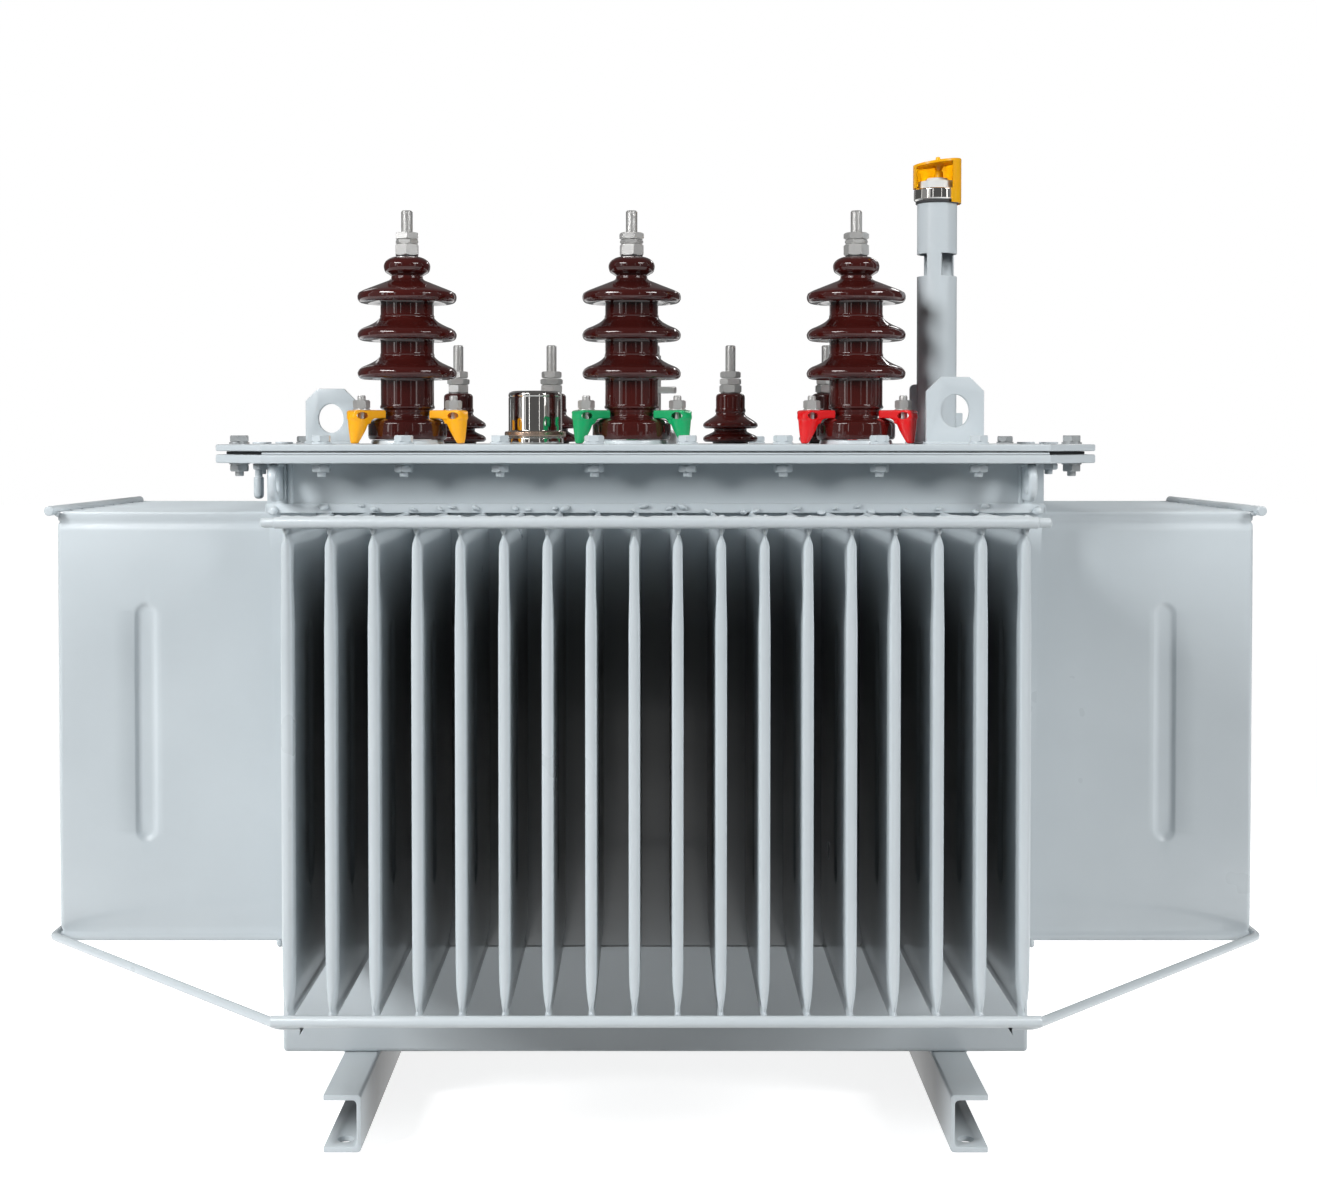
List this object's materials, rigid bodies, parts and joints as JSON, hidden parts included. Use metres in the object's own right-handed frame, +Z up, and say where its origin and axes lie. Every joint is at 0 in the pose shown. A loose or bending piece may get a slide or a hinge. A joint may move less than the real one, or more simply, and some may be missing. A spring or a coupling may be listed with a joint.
{
  "type": "power transformer",
  "caption": "Oil-immersed power transformer: corrugated finned tank on two channel feet, bolted cover with bushings, lifting lugs, relief cap and filler pipe.",
  "frame": {"origin": "on the ground at the centre of the outline, between the two channel feet", "axes": "+Z up, +X along the tank to the filler pipe's end, -Y to the high-voltage side, which is the front"},
  "size_m": [1.4646, 1.0286, 1.1485],
  "materials": {
    "paint": "glossy bluish grey enamel",
    "porcelain": "dark red-brown glaze",
    "zinc": "zinc-plated steel",
    "chrome": "polished bright metal",
    "rubber": "dark gasket rubber",
    "amber": "translucent amber plastic",
    "claw_yellow": "glossy yellow paint",
    "claw_green": "glossy green paint",
    "claw_red": "glossy red paint"
  },
  "bodies": {
    "root": {"foot_channel_left": "paint", "foot_channel_right": "paint", "tank_body": "paint", "tank_collar": "paint", "tank_flange": "paint", "cover_gasket": "rubber", "cover": "paint", "cover_lug_left": "paint", "cover_lug_right": "paint", "tank_lug_front_left": "paint", "tank_lug_front_right": "paint", "tank_lug_back_left": "paint", "tank_lug_back_right": "paint", "fins_front": "paint", "fins_back": "paint", "fins_left": "paint", "fins_right": "paint", "top_rod_front": "paint", "top_rod_back": "paint", "top_rod_left": "paint", "top_rod_right": "paint", "bottom_rod_front": "paint", "bottom_rod_back": "paint", "bottom_brace_left": "paint", "bottom_brace_right": "paint", "hv_left_insulator": "porcelain", "hv_middle_insulator": "porcelain", "hv_right_insulator": "porcelain", "hv_left_terminal": "zinc", "hv_middle_terminal": "zinc", "hv_right_terminal": "zinc", "hv_left_claw_1": "claw_yellow", "hv_left_claw_2": "claw_yellow", "hv_left_claw_3": "claw_yellow", "hv_middle_claw_1": "claw_green", "hv_middle_claw_2": "claw_green", "hv_middle_claw_3": "claw_green", "hv_right_claw_1": "claw_red", "hv_right_claw_2": "claw_red", "hv_right_claw_3": "claw_red", "lv_neutral_insulator": "porcelain", "lv_a_insulator": "porcelain", "lv_b_insulator": "porcelain", "lv_c_insulator": "porcelain", "lv_neutral_terminal": "zinc", "lv_a_terminal": "zinc", "lv_b_terminal": "zinc", "lv_c_terminal": "zinc", "tap_switch": "zinc", "relief_cap": "chrome", "filler_pipe": "paint", "filler_ring": "chrome", "filler_hood": "amber"}
  },
  "joints": []
}
